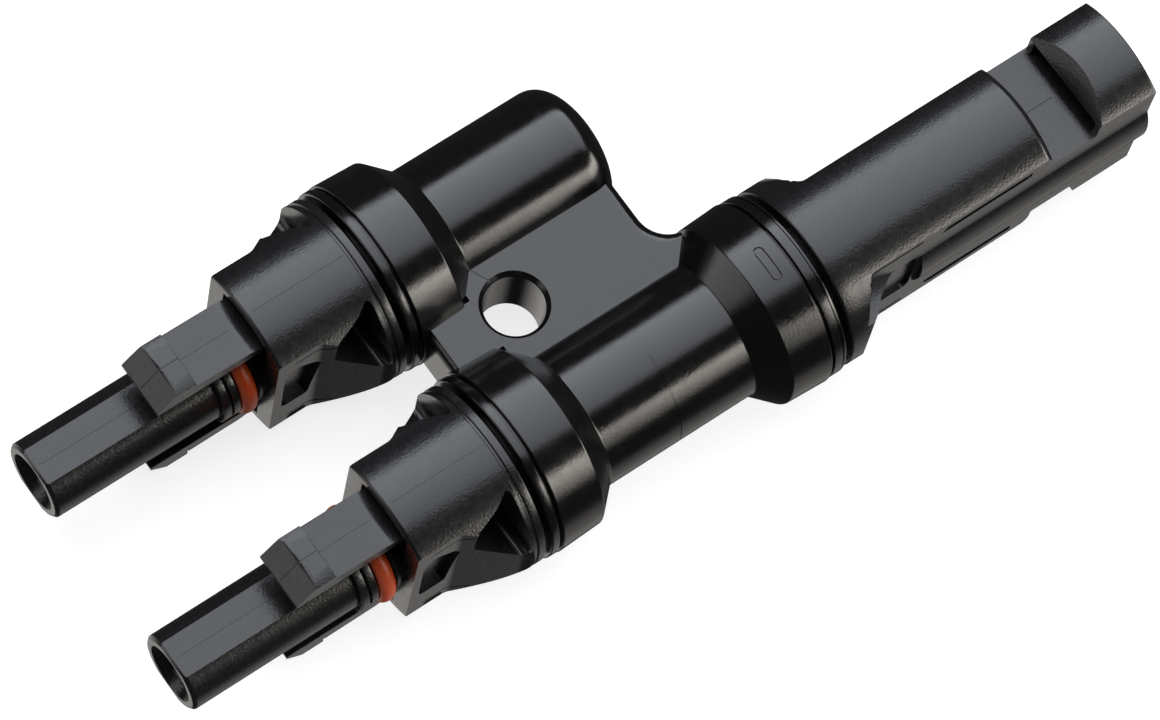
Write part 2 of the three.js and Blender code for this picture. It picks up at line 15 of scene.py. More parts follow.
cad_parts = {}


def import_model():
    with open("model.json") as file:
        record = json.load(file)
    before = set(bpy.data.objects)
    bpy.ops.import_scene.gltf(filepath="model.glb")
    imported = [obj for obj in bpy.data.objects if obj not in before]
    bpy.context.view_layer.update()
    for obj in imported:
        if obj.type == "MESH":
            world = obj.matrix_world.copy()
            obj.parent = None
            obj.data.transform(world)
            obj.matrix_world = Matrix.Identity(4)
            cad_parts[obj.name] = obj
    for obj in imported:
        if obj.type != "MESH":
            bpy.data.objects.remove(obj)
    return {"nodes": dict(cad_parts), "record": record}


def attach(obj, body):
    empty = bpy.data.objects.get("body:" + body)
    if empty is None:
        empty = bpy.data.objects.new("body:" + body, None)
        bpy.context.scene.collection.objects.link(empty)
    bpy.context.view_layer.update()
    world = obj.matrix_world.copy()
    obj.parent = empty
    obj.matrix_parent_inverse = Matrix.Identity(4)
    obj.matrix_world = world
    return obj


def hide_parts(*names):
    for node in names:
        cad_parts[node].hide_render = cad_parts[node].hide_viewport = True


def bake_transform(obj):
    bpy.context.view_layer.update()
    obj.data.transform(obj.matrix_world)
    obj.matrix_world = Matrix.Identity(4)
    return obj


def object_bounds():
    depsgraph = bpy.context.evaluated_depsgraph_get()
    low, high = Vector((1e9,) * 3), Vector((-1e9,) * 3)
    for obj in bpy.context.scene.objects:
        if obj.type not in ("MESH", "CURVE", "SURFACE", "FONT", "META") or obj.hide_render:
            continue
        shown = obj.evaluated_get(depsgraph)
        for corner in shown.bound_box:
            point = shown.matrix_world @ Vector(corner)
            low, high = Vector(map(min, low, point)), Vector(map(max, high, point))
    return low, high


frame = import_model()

cad_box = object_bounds()

# ---- sizes, in millimetres -------------------------------------------------------------

ROOT = "connector_body"  # the body that everything but the arms is fixed to
SPACING = 21.6  # between the two branch axes
ROUND = 192  # segments round a large surface
SMALL = 96  # segments round a small one
FAR = 20  # further out than any surface of one branch

COLLAR_R = 9.45
COLLAR_EDGE_R = 9.25
RING_R = 9.35
GROOVE_R = 8.95
TUBE_R = 6.86
BODY_START = 34.9
BODY_END = 67.9
BORE_R = 7.6
NECK_R = 7.3
DOME_START = 57.4
DOME_LENGTH = 3.6
DOME_POWER = 2.4
WEB_HALF = 3.7
WEB_END = 59.4
WEB_FILLET_R = 3.2
WEB_EDGE = 1.3  # rounding of its upper and lower edges
WEB_EDGE_STEPS = 8
EYE = (44.8, 10.9)
EYE_R = 2.9
EYE_LIP = 0.42

INSERT_R = 9.2
FLAT = 5.35  # half width across the side flats
GRIP_START = 22.4
GRIP_END = 34.3
BUTTRESS_HALF = 3.6
CAVITY_HALF = 3.4

PROBE_R = 3.84
PROBE_FLAT = 3.32
ARM_HALF = 2.85
ARM_INNER = 6.6
ARM_OUTER = 8.05
ROOT_END = 26.5  # the arm's root reaches this far into the grip

SHELL_START = 68.6
SHELL_END = 105.4
SHELL_R = 9.15
CORE_TOP = 5.45
RIDGE_R = 6.1
WINDOW = (93.5, 98.8)
CHANNEL_TOP = 7.2
SOCKET_R = 5.05

SEAM_WIDTH = 0.11
SEAM_DEPTH = 0.1

low_corner = cad_box[0]
TO_FRAME = Matrix.Translation(
    (low_corner[0], low_corner[1] + COLLAR_R / 1000, low_corner[2] + COLLAR_R / 1000)
) @ Matrix.Scale(0.001, 4)

# ---- outlines --------------------------------------------------------------------------


def rounded(corners, closed=True, steps=5):
    """An outline of (a, b) or (a, b, radius) corners, in which a radius becomes an arc."""
    outline = []
    count = len(corners)
    for i, corner in enumerate(corners):
        here = Vector(corner[:2])
        at_end = not closed and i in (0, count - 1)
        if len(corner) < 3 or at_end:
            outline.append(tuple(here))
            continue
        before = (Vector(corners[i - 1][:2]) - here).normalized()
        after = (Vector(corners[(i + 1) % count][:2]) - here).normalized()
        half = before.angle(after) / 2
        centre = here + (before + after).normalized() * corner[2] / math.sin(half)
        start = here + before * corner[2] / math.tan(half) - centre
        end = here + after * corner[2] / math.tan(half) - centre
        first = math.atan2(start.y, start.x)
        sweep = math.remainder(math.atan2(end.y, end.x) - first, 2 * math.pi)
        for step in range(steps + 1):
            angle = first + sweep * step / steps
            point = centre + Vector((math.cos(angle), math.sin(angle))) * corner[2]
            outline.append(tuple(point))
    return outline


def box_outline(a, b, radius=0.0, steps=4):
    (a0, a1), (b0, b1) = a, b
    corners = [(a0, b0), (a1, b0), (a1, b1), (a0, b1)]
    if radius:
        corners = [(*corner, radius) for corner in corners]
    return rounded(corners, steps=steps)


def circle(centre, radius, segments=SMALL):
    angles = [2 * math.pi * i / segments for i in range(segments)]
    return [(centre[0] + radius * math.cos(t), centre[1] + radius * math.sin(t)) for t in angles]


# ---- solids ----------------------------------------------------------------------------


def new_object(name, bm):
    bmesh.ops.recalc_face_normals(bm, faces=bm.faces)
    mesh = bpy.data.meshes.new(name)
    bm.to_mesh(mesh)
    bm.free()
    obj = bpy.data.objects.new(name, mesh)
    bpy.context.scene.collection.objects.link(obj)
    return obj


def lathe(outline, segments=ROUND, upright=False, centre=(0, 0)):
    """Turns an outline of (along, radius) about the branch axis, or about an upright axis."""
    bm = bmesh.new()
    rings = []
    for along, radius in outline:
        count = segments if radius > 1e-6 else 1
        ring = []
        for i in range(count):
            angle = 2 * math.pi * i / segments
            a, b = radius * math.cos(angle), radius * math.sin(angle)
            across = (centre[0] + a, centre[1] + b)
            ring.append(bm.verts.new((*across, along) if upright else (along, *across)))
        rings.append(ring)
    if len(rings[0]) > 1:
        rings.append(rings[0])
    for here, there in zip(rings, rings[1:]):
        for i in range(segments):
            j = (i + 1) % segments
            if len(here) > 1 and len(there) > 1:
                bm.faces.new((here[i], here[j], there[j], there[i]))
            elif len(here) > 1:
                bm.faces.new((here[i], here[j], there[0]))
            elif len(there) > 1:
                bm.faces.new((here[0], there[j], there[i]))
    return new_object("turned", bm)


def loft(rings):
    """A closed solid through rings that have equal numbers of points."""
    bm = bmesh.new()
    loops = [[bm.verts.new(point) for point in ring] for ring in rings]
    bm.faces.new(loops[0])
    bm.faces.new(loops[-1])
    count = len(rings[0])
    for here, there in zip(loops, loops[1:]):
        for i in range(count):
            j = (i + 1) % count
            bm.faces.new((here[i], here[j], there[j], there[i]))
    return new_object("loft", bm)


def prism(outline, low, high, facing, edge=0.0):
    """Raises an outline from low to high along the axis it faces, and can round its rims."""
    order = {"x": lambda a, b, c: (c, a, b), "y": lambda a, b, c: (a, c, b), "z": lambda a, b, c: (a, b, c)}
    bm = bmesh.new()
    bottom = [bm.verts.new(order[facing](a, b, low)) for a, b in outline]
    top = [bm.verts.new(order[facing](a, b, high)) for a, b in outline]
    lower = bm.faces.new(bottom)
    upper = bm.faces.new(top)
    count = len(outline)
    for i in range(count):
        j = (i + 1) % count
        bm.faces.new((bottom[i], bottom[j], top[j], top[i]))
    if edge:
        rims = list(lower.edges) + list(upper.edges)
        bmesh.ops.bevel(bm, geom=rims, offset=edge, segments=3, profile=0.5, affect="EDGES")
    return new_object("prism", bm)


def block(x, y, z, radius=0.0):
    return prism(box_outline(x, z, radius), y[0], y[1], "y")


def rod(start, end, radius, segments=SMALL):
    return lathe([(start, 0), (start, radius), (end, radius), (end, 0)], segments)


def boolean(target, tool, operation):
    modifier = target.modifiers.new(operation, "BOOLEAN")
    modifier.operation = operation
    modifier.solver = "MANIFOLD"
    modifier.object = tool
    graph = bpy.context.evaluated_depsgraph_get()
    mesh = bpy.data.meshes.new_from_object(target.evaluated_get(graph))
    if not mesh.polygons:
        raise RuntimeError(f"{operation} left nothing of {target.name}")
    target.modifiers.clear()
    target.data = mesh
    bpy.data.objects.remove(tool)
    return target


def cut(target, *tools):
    for tool in tools:
        boolean(target, tool, "DIFFERENCE")
    return target


def join(target, *tools):
    for tool in tools:
        boolean(target, tool, "UNION")
    return target


def common(target, tool):
    return boolean(target, tool, "INTERSECT")


def copied(obj, matrix):
    """A second object with the same shape, moved or mirrored by a matrix."""
    other = bpy.data.objects.new(obj.name, obj.data.copy())
    other.data.transform(matrix)
    if matrix.determinant() < 0:
        other.data.flip_normals()
    bpy.context.scene.collection.objects.link(other)
    return other


def mirrored(obj, axis):
    flip = Matrix.Diagonal([-1 if name == axis else 1 for name in "xyz"] + [1])
    return copied(obj, flip)


def both(make, axis):
    """A tool and its mirror image, ready for cut() or join()."""
    tool = make()
    return tool, mirrored(tool, axis)


def four(make):
    """A tool repeated on both sides, above and below."""
    pair = both(make, "y")
    return [*pair, *(mirrored(tool, "z") for tool in pair)]


# ---- materials -------------------------------------------------------------------------


class Shader:
    """A Principled material with short calls for adding nodes to it."""

    def __init__(self, name, **values):
        self.material = bpy.data.materials.new(name)
        self.material.use_nodes = True
        self.tree = self.material.node_tree
        self.surface = self.tree.nodes["Principled BSDF"]
        for socket, value in values.items():
            self.surface.inputs[socket.replace("_", " ")].default_value = value
        self.place = self.add("ShaderNodeTexCoord").outputs["Object"]

    def add(self, kind, **settings):
        node = self.tree.nodes.new(kind)
        for key, value in settings.items():
            setattr(node, key, value)
        return node

    def link(self, source, target):
        self.tree.links.new(source, target)

    def noise(self, scale, detail=2.0, roughness=0.5):
        """Noise over the piece. Scale is in features per metre."""
        node = self.add("ShaderNodeTexNoise")
        node.inputs["Scale"].default_value = scale
        node.inputs["Detail"].default_value = detail
        node.inputs["Roughness"].default_value = roughness
        self.link(self.place, node.inputs["Vector"])
        return node.outputs["Fac"]

    def ranged(self, source, low, high):
        """Spreads a noise's middle range over low to high."""
        node = self.add("ShaderNodeMapRange")
        for socket, value in (("From Min", 0.3), ("From Max", 0.7), ("To Min", low), ("To Max", high)):
            node.inputs[socket].default_value = value
        self.link(source, node.inputs["Value"])
        return node.outputs["Result"]

    def tinted(self, source, first, second):
        node = self.add("ShaderNodeMix", data_type="RGBA")
        colour_sockets = [s for s in node.inputs if s.type == "RGBA"]
        colour_sockets[0].default_value = (*first, 1)
        colour_sockets[1].default_value = (*second, 1)
        self.link(source, node.inputs["Factor"])
        result = [s for s in node.outputs if s.type == "RGBA"][0]
        self.link(result, self.surface.inputs["Base Color"])

    def bumped(self, *layers):
        """Layers of (height, strength, distance in metres)."""
        normal = None
        for height, strength, distance in layers:
            node = self.add("ShaderNodeBump")
            node.inputs["Strength"].default_value = strength
            node.inputs["Distance"].default_value = distance
            self.link(height, node.inputs["Height"])
            if normal:
                self.link(normal, node.inputs["Normal"])
            normal = node.outputs["Normal"]
        self.link(normal, self.surface.inputs["Normal"])


def overmould_material():
    shader = Shader("glossy black overmould", IOR=1.5)
    shader.link(shader.ranged(shader.noise(900), 0.1, 0.18), shader.surface.inputs["Roughness"])
    shader.tinted(shader.noise(300), (0.0028, 0.0028, 0.0031), (0.0046, 0.0044, 0.0042))
    shader.bumped((shader.noise(5600, 3, 0.6), 0.3, 0.00004), (shader.noise(260), 0.12, 0.00005))
    return shader.material


def housing_material():
    shader = Shader("fine-grained black housing", IOR=1.5)
    shader.link(shader.ranged(shader.noise(1500), 0.22, 0.28), shader.surface.inputs["Roughness"])
    shader.tinted(shader.noise(4200, 1), (0.001, 0.001, 0.0012), (0.012, 0.012, 0.0125))
    shader.bumped((shader.noise(4600, 0), 0.35, 0.00003), (shader.noise(1200), 0.1, 0.00003))
    return shader.material


def silicone_material():
    shader = Shader("orange-red silicone", IOR=1.43)
    shader.link(shader.ranged(shader.noise(2000), 0.34, 0.44), shader.surface.inputs["Roughness"])
    shader.tinted(shader.noise(900), (0.3, 0.032, 0.004), (0.4, 0.05, 0.007))
    shader.bumped((shader.noise(4000, 2), 0.12, 0.00002),)
    return shader.material


def metal_material(name, dark, light, low, high, turning_lines=0.1):
    shader = Shader(name, Metallic=1.0)
    shader.link(shader.ranged(shader.noise(1800, 3), low, high), shader.surface.inputs["Roughness"])
    shader.tinted(shader.noise(600, 3), dark, light)
    rings = shader.add("ShaderNodeTexWave", wave_type="BANDS", bands_direction="X")
    rings.inputs["Scale"].default_value = 900
    rings.inputs["Distortion"].default_value = 0.6
    shader.link(shader.place, rings.inputs["Vector"])
    shader.bumped((rings.outputs["Fac"], turning_lines, 0.00002), (shader.noise(5000), 0.08, 0.00001))
    return shader.material


def jacket_material():
    shader = Shader("matt black insulation", IOR=1.5)
    shader.link(shader.ranged(shader.noise(1200), 0.5, 0.66), shader.surface.inputs["Roughness"])
    shader.tinted(shader.noise(500), (0.014, 0.014, 0.015), (0.022, 0.022, 0.022))
    shader.bumped((shader.noise(3500, 3), 0.25, 0.00003),)
    return shader.material


materials = {
    "overmould": overmould_material(),
    "housing": housing_material(),
    "silicone": silicone_material(),
    "contact": metal_material("tinned contact", (0.52, 0.5, 0.47), (0.66, 0.64, 0.6), 0.24, 0.38),
    "clip": metal_material("spring steel clip", (0.42, 0.43, 0.44), (0.55, 0.56, 0.57), 0.26, 0.4, 0.04),
    "copper": metal_material("bare copper strand", (0.6, 0.26, 0.14), (0.74, 0.36, 0.22), 0.28, 0.42, 0.2),
    "jacket": jacket_material(),
}


def place(obj, name, slot, body, *nodes, sharp=30):
    """Turns a finished shape into a piece of the model that stands for CAD nodes."""
    obj.name = name
    obj.data.name = name
    obj.data.transform(TO_FRAME)
    obj.data.shade_smooth()
    obj.data.set_sharp_from_angle(angle=math.radians(sharp))
    weighted = obj.modifiers.new("even normals", "WEIGHTED_NORMAL")
    weighted.keep_sharp = True
    obj.data.materials.clear()
    obj.data.materials.append(materials[slot])
    if body:
        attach(obj, body)
    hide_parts(*nodes)
    return obj


def eased(obj, width):
    """Rounds every sharp edge of a shape a little."""
    bm = bmesh.new()
    bm.from_mesh(obj.data)
    bmesh.ops.remove_doubles(bm, verts=bm.verts, dist=0.004)
    bmesh.ops.dissolve_degenerate(bm, edges=bm.edges, dist=0.004)
    sharp = [e for e in bm.edges if len(e.link_faces) == 2 and e.calc_face_angle(0) > math.radians(40)]
    bmesh.ops.bevel(
        bm, geom=sharp, offset=width, segments=2, profile=0.5, affect="EDGES", clamp_overlap=True
    )
    bm.to_mesh(obj.data)
    bm.free()
    return obj


# ---- overmoulded body ------------------------------------------------------------------

SOCKET_COLLAR = [
    (41, 0),
    (41, BORE_R),
    (BODY_START, BORE_R),
    (BODY_START, RING_R, 0.2),
    (35.74, RING_R, 0.1),
    (35.8, GROOVE_R),
    (36.04, GROOVE_R),
    (36.1, COLLAR_R, 0.15),
    (40.7, COLLAR_EDGE_R, 0.3),
    (43.2, TUBE_R, 0.35),
]

PIN_COLLAR = [
    (59.4, TUBE_R, 0.35),
    (61.9, COLLAR_EDGE_R, 0.3),
    (66.2, COLLAR_R, 0.15),
    (66.26, GROOVE_R),
    (66.48, GROOVE_R),
    (66.54, RING_R, 0.08),
    (67.42, RING_R),
    (67.46, RING_R - 0.14),
    (67.53, RING_R - 0.14),
    (67.57, RING_R),
    (BODY_END, RING_R, 0.2),
    (BODY_END, BORE_R),
    (63.7, BORE_R),
    (63.7, 0),
]


def dome_outline():
    """The closed end of the side tube, squarer than a half ellipse."""
    steps = 28
    outline = []
    for i in range(steps):
        along = math.sin(0.5 * math.pi * i / steps)
        radius = TUBE_R * (1 - along**DOME_POWER) ** (1 / DOME_POWER)
        outline.append((DOME_START + DOME_LENGTH * along, radius))
    return [*outline, (DOME_START + DOME_LENGTH, 0)]


def web():
    """The flat web between the branches, kept out of the bores that hold the inserts."""
    bore_side = 8.2
    tube_side = 4

    def level(inset, z):
        left = 36.5 + min(inset, 0.5)
        right = WEB_END - inset
        corners = [
            (left, bore_side),
            (41.6, bore_side),
            (41.6, tube_side),
            (62.6, tube_side),
            (62.6, 8.6 - 0.5 * inset),
            (right, 8.6 - 0.5 * inset, WEB_FILLET_R),
            (right, SPACING - tube_side),
            (41.6, SPACING - tube_side),
            (41.6, SPACING - bore_side),
            (left, SPACING - bore_side),
        ]
        return [(x, y, z) for x, y in rounded(corners, steps=20)]

    angles = [math.pi / 2 * i / WEB_EDGE_STEPS for i in range(WEB_EDGE_STEPS + 1)]
    upper = [(WEB_EDGE * (1 - math.cos(t)), WEB_HALF - WEB_EDGE * (1 - math.sin(t))) for t in angles]
    lower = [(inset, -z) for inset, z in reversed(upper)]
    return loft([level(inset, z) for inset, z in [*lower, *upper]])


def eye():
    reach = WEB_HALF + 1
    mouth = EYE_R + EYE_LIP
    half = [(WEB_HALF - EYE_LIP, EYE_R, 0.3), (WEB_HALF, mouth, 0.12), (reach, mouth), (reach, 0)]
    lower = [(-a, *rest) for a, *rest in reversed(half)]
    return lathe(rounded([*lower, *half], closed=False), SMALL, upright=True, centre=EYE)


def stadium_mark():
    """A plain long ring, engraved on top of the pin collar."""
    middle, half_length = 0.1, 1.87
    outer, inner = 0.52, 0.38
    centre_x = 64.42
    floor_r = 9.2  # radius that the engraving goes down to
    span = (middle - half_length, middle + half_length)
    tool = prism(box_outline((centre_x - outer, centre_x + outer), span, outer - 0.01, 10), 5, 11, "z")
    inner_span = (span[0] + outer - inner, span[1] - outer + inner)
    inner_width = (centre_x - inner, centre_x + inner)
    core = prism(box_outline(inner_width, inner_span, inner - 0.01, 10), 4, 12, "z")
    return cut(tool, core, rod(60, 70, floor_r, ROUND))


def parting_line():
    """A faint line round the near side of the main tube."""
    ring = lathe([(51, 6.8), (51, 7.5), (51.09, 7.5), (51.09, 6.8)], ROUND)
    return common(ring, block((50, 52), (-FAR, -0.5), (0, FAR)))


def web_scratch():
    line = block((-1.05, 1.05), (-0.045, 0.045), (WEB_HALF - 0.07, WEB_HALF + 1))
    turn = math.atan2(14.0 - 15.85, 44.2 - 43.3)
    line.data.transform(Matrix.Translation((43.75, 14.92, 0)) @ Matrix.Rotation(turn, 4, "Z"))
    return line


def moulded_body():
    body = lathe(rounded([*SOCKET_COLLAR, *PIN_COLLAR], closed=False))
    side = lathe([*rounded([*SOCKET_COLLAR, (DOME_START, TUBE_R)], closed=False)[:-1], *dome_outline()])
    side.data.transform(Matrix.Translation((0, SPACING, 0)))
    join(body, web(), side)
    cut(body, eye(), stadium_mark(), parting_line(), web_scratch())
    return place(body, "moulded_body", "overmould", ROOT, "y_body")


# ---- socket branches -------------------------------------------------------------------


def grip_blank():
    line = INSERT_R - 0.16
    corners = [
        (GRIP_START, 0),
        (GRIP_START, INSERT_R, 0.3),
        (33.15, INSERT_R, 0.1),
        (33.25, line),
        (33.45, line),
        (33.55, INSERT_R, 0.1),
        (GRIP_END, INSERT_R, 0.12),
        (GRIP_END, NECK_R),
        (40.7, NECK_R),
        (40.7, 0),
    ]
    return lathe(rounded(corners, closed=False))


def grip_side():
    """What is taken off one side of a grip, leaving its flat, which runs out to the full radius."""
    outline = [
        (GRIP_START - 1, -FLAT),
        (26.8, -FLAT, 1.5),
        (32.6, -8.55, 2.5),
        (33.2, -INSERT_R - 0.1),
        (33.2, -FAR),
        (GRIP_START - 1, -FAR),
    ]
    return prism(rounded(outline, steps=12), -FAR, FAR, "z")


def rear_pocket():
    """The deep pocket between the top plate and the buttress."""
    outline = [(28.2, 3.4, 0.6), (32.8, 0.4, 0.8), (32.8, 8.3, 0.4), (31.0, 7.6), (28.3, 6.9, 0.3)]
    return prism(rounded(outline), -FAR, -3.6, "y")


def front_hollow():
    outline = [(23.4, -3.3, 0.7), (26.3, -3.3, 0.5), (27.2, 3.2, 0.6), (24.2, 5.2, 0.8), (23.3, 3.4, 0.6)]
    return prism(rounded(outline), -FAR, -4.45, "y")


def lower_notch():
    outline = [(24.1, -7.25, 0.2), (24.6, -6.5, 0.3), (26.1, -6.5, 0.3), (26.6, -7.25, 0.2)]
    return prism(rounded(outline), -FAR, -4.8, "y")


def plate_ledge():
    """The step under a plate's edge."""
    outline = [(24.2, 6.1), (28.7, 6.1), (28.7, 6.3), (24.2, 6.3)]
    return prism(outline, -FAR, -FLAT + 0.35, "y")


def open_front():
    """The hollow in the grip's front, in which the arms bend."""
    cavity = rod(GRIP_START - 1, 26, 8.2, ROUND)
    return common(cavity, block((GRIP_START - 1, 26), (-CAVITY_HALF, CAVITY_HALF), (-FAR, FAR)))


def probe():
    flange = 4.4
    line = 4.05
    corners = [
        (0, 0),
        (0, PROBE_R - 0.3, 0.06),
        (0.3, PROBE_R, 0.2),
        (17.7, PROBE_R),
        (17.7, flange, 0.1),
        (18.5, flange, 0.06),
        (18.5, line),
        (18.75, line),
        (18.75, flange, 0.06),
        (19.5, flange, 0.1),
        (19.5, 3.5),
        (21.45, 3.5),
        (21.45, flange, 0.1),
        (21.95, flange, 0.1),
        (21.95, 3.9),
        (27, 3.9),
        (27, 0),
    ]
    body = lathe(rounded(corners, closed=False), SMALL)
    flat = [(-1, PROBE_FLAT - 1.2), (0, PROBE_FLAT - 0.2), (0.2, PROBE_FLAT, 0.15), (17.2, PROBE_FLAT, 0.4)]
    flat += [(17.6, PROBE_FLAT + 1), (17.6, FAR), (-1, FAR)]

    def flat_cut():
        return prism(rounded(flat), -FAR, FAR, "y")

    def seam():
        return block((0.6, 17.2), (-SEAM_WIDTH / 2, SEAM_WIDTH / 2), (PROBE_FLAT - SEAM_DEPTH / 2, FAR))

    return cut(body, *both(flat_cut, "z"), *both(seam, "z"))


def key():
    outline = [(17.9, 2.8), (19.48, 2.8), (19.48, 5.6, 0.15), (17.9, 5.6, 0.15)]
    return prism(rounded(outline), -2.1, 2.1, "y", edge=0.1)


def grip_seam():
    """A faint lengthwise parting line on the top plate."""
    half = SEAM_WIDTH / 2
    tool = block((23, 33), (-half, half), (0, FAR))
    return cut(tool, rod(0, 40, INSERT_R - 0.05, ROUND))


def probe_mouth():
    corners = [
        (-1, 0),
        (-1, 2.9),
        (0, 2.9),
        (0.9, 2.4, 0.4),
        (1.2, 2.3),
        (2.3, 2.3),
        (2.3, 3.0),
        (41, 3.0),
        (41, 0),
    ]
    return lathe(rounded(corners, closed=False), SMALL)


def socket_housing():
    grip = grip_blank()
    cut(grip, *both(grip_side, "y"), open_front())
    cut(grip, *both(rear_pocket, "y"), *both(front_hollow, "y"), *four(plate_ledge))
    cut(grip, *both(lower_notch, "y"), *both(grip_seam, "z"))
    join(grip, probe(), *both(key, "z"))
    return cut(grip, probe_mouth())


def latch_arm():
    """The arm above a probe, with its barb towards the tip, a seam along its top and its root."""
    corners = [
        (11.1, ARM_INNER, 0.1),
        (11.1, 6.98, 0.12),
        (13.2, 8.92, 0.9),
        (15.14, 9.02, 0.12),
        (15.2, ARM_OUTER),
        (20.9, ARM_OUTER, 2.5),
        (22.7, 7.45, 0.8),
        (ROOT_END, 7.3),
        (ROOT_END, ARM_INNER),
    ]
    arm = prism(rounded(corners), -ARM_HALF, ARM_HALF, "y", edge=0.09)
    common(arm, rod(0, ROOT_END, INSERT_R - 0.06, ROUND))
    half = SEAM_WIDTH / 2
    on_barb = [(11.3, 7.06), (13.2, 8.83), (15.2, 8.93), (15.2, FAR), (11.3, FAR)]
    cut(arm, prism(on_barb, -half, half, "y"))
    cut(arm, block((15.2, 22.2), (-half, half), (ARM_OUTER - SEAM_DEPTH / 2, FAR)))
    line_at_foot = block((15.2, 15.34), (-FAR, FAR), (ARM_OUTER - 0.1, ARM_OUTER + 0.2))
    return cut(arm, line_at_foot)


def probe_seal():
    inner, outer = 3.55, 4.95
    start, end = 19.62, 21.3
    half = (outer - inner) / 2
    middle = (start + end) / 2
    centre_r = (inner + outer) / 2
    section = circle((0, 0), 1, 32)
    return lathe([(middle + x * (end - start) / 2, centre_r + r * half) for x, r in section], ROUND)


def socket_branch(branch, y):
    move = Matrix.Translation((0, y, 0))
    housing = socket_housing()
    housing.data.transform(move)
    place(housing, f"{branch}_grip_and_probe", "housing", ROOT, f"socket_housing_{branch}")
    for level in ("top", "bottom"):
        arm = latch_arm()
        if level == "bottom":
            lower = mirrored(arm, "z")
            bpy.data.objects.remove(arm)
            arm = lower
        arm.data.transform(move)
        body = f"latch_arm_{branch}_{level}"
        place(arm, f"{branch}_{level}_snap_arm", "housing", None, body)
        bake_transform(arm)
    seal = probe_seal()
    seal.data.transform(move)
    place(seal, f"{branch}_o_ring", "silicone", ROOT, f"probe_seal_{branch}")


# ---- pin branch ------------------------------------------------------------------------


def shell_blank():
    corners = [
        (64, 0),
        (64, NECK_R),
        (SHELL_START, NECK_R),
        (SHELL_START, INSERT_R, 0.25),
        (70, INSERT_R, 1),
        (SHELL_END, SHELL_R, 0.22),
        (SHELL_END, 0),
    ]
    return lathe(rounded(corners, closed=False))


def shell_shoulder():
    """Above and below the buttress the round root slopes down to the flat."""
    outline = [(70, -INSERT_R - 0.1, 0.5), (72.4, -FLAT, 0.8), (SHELL_END + 1, -FLAT)]
    outline += [(SHELL_END + 1, -FAR), (70, -FAR)]
    return prism(rounded(outline), BUTTRESS_HALF, FAR, "z")


def shell_ramp():
    outline = [
        (70.1, -INSERT_R - 0.1),
        (72.2, -7.8, 2),
        (73.8, -6.2, 2),
        (75.4, -FLAT, 2),
        (SHELL_END + 1, -FLAT),
        (SHELL_END + 1, -FAR),
        (70.1, -FAR),
    ]
    return prism(rounded(outline), -BUTTRESS_HALF - 0.01, BUTTRESS_HALF + 0.01, "z")


def side_slot():
    outline = [(80.8, 5.7, 0.1), (91.2, 5.7, 0.35), (91.2, 6.6, 0.1), (81.4, 6.6, 0.4)]
    return prism(rounded(outline), -FAR, -3.6, "y")


def shell_line():
    return prism(box_outline((71.8, 78.5), (6.55, 6.95)), -FAR, -FLAT + 0.9, "y")


def side_recess():
    outline = [(75.2, -3.4, 0.8), (78.6, -3.4, 0.8), (78.6, 3.4, 0.8), (75.2, 3.4, 0.8)]
    return prism(rounded(outline), -FAR, -FLAT + 0.45, "y")


def window():
    start, end = WINDOW
    return block((start, end), (-FAR, FAR), (CORE_TOP, FAR))


def channel():
    outline = [(-4.5, CORE_TOP), (4.5, CORE_TOP), (4.5, CHANNEL_TOP, 0.3), (-4.5, CHANNEL_TOP, 0.3)]
    return prism(rounded(outline), WINDOW[0] - 0.4, SHELL_END + 1, "x")


def bridge_gap():
    """The floor steps down where it goes in under the bridge."""
    return block((98.35, 104), (-4.7, 4.7), (5.16, CHANNEL_TOP))


def bridge_facet():
    """The sloped lune on the rear edge of the bridge, cut by a plane."""
    outline = [(98.6, CHANNEL_TOP), (98.8, CHANNEL_TOP), (100.2, SHELL_R), (100.4, SHELL_R + 0.3)]
    outline += [(100.4, FAR), (98.6, FAR)]
    return prism(outline, -FAR, FAR, "y")


def window_rim():
    """Rounds the shell's edge along the rear of the window."""
    start, outer, radius = WINDOW[0], SHELL_R + 0.03, 1.0
    corners = [(start - 2 * radius, outer + 1), (start - 2 * radius, outer), (start, outer, radius)]
    corners += [(start, outer - 2 * radius), (start + 1, outer - 2 * radius), (start + 1, outer + 1)]
    ring = lathe(rounded(corners, steps=8))
    return common(ring, block((start - 2, start + 2), (-FAR, FAR), (CORE_TOP + 0.3, FAR)))


def floor_mark():
    return block((93.6, 97.6), (-SEAM_WIDTH * 0.6, SEAM_WIDTH * 0.6), (CORE_TOP - 0.12, CORE_TOP + 0.5))


def side_ridge():
    ridge = rod(79, SHELL_END, RIDGE_R, ROUND)
    return common(ridge, block((78.9, SHELL_END - 0.01), (-FAR, FAR), (-3.2, 3.2)))


def shell_bore():
    corners = [
        (63, 0),
        (63, 3.0),
        (78, 3.0),
        (78, 2.3),
        (82.4, 2.3),
        (82.4, SOCKET_R),
        (SHELL_END - 0.4, SOCKET_R, 0.3),
        (SHELL_END, SOCKET_R + 0.3),
        (SHELL_END + 1, SOCKET_R + 0.3),
        (SHELL_END + 1, 0),
    ]
    return lathe(rounded(corners, closed=False), SMALL)


def pin_shell():
    shell = shell_blank()
    cut(shell, *four(shell_shoulder), *both(shell_ramp, "y"))
    join(shell, side_ridge())
    cut(shell, *four(side_slot), *four(shell_line), *both(side_recess, "y"))
    for make in (window, channel, bridge_facet, bridge_gap, floor_mark, window_rim):
        cut(shell, *both(make, "z"))
    cut(shell, shell_bore())
    eased(shell, 0.08)
    return place(shell, "pin_shell", "housing", ROOT, "pin_housing")


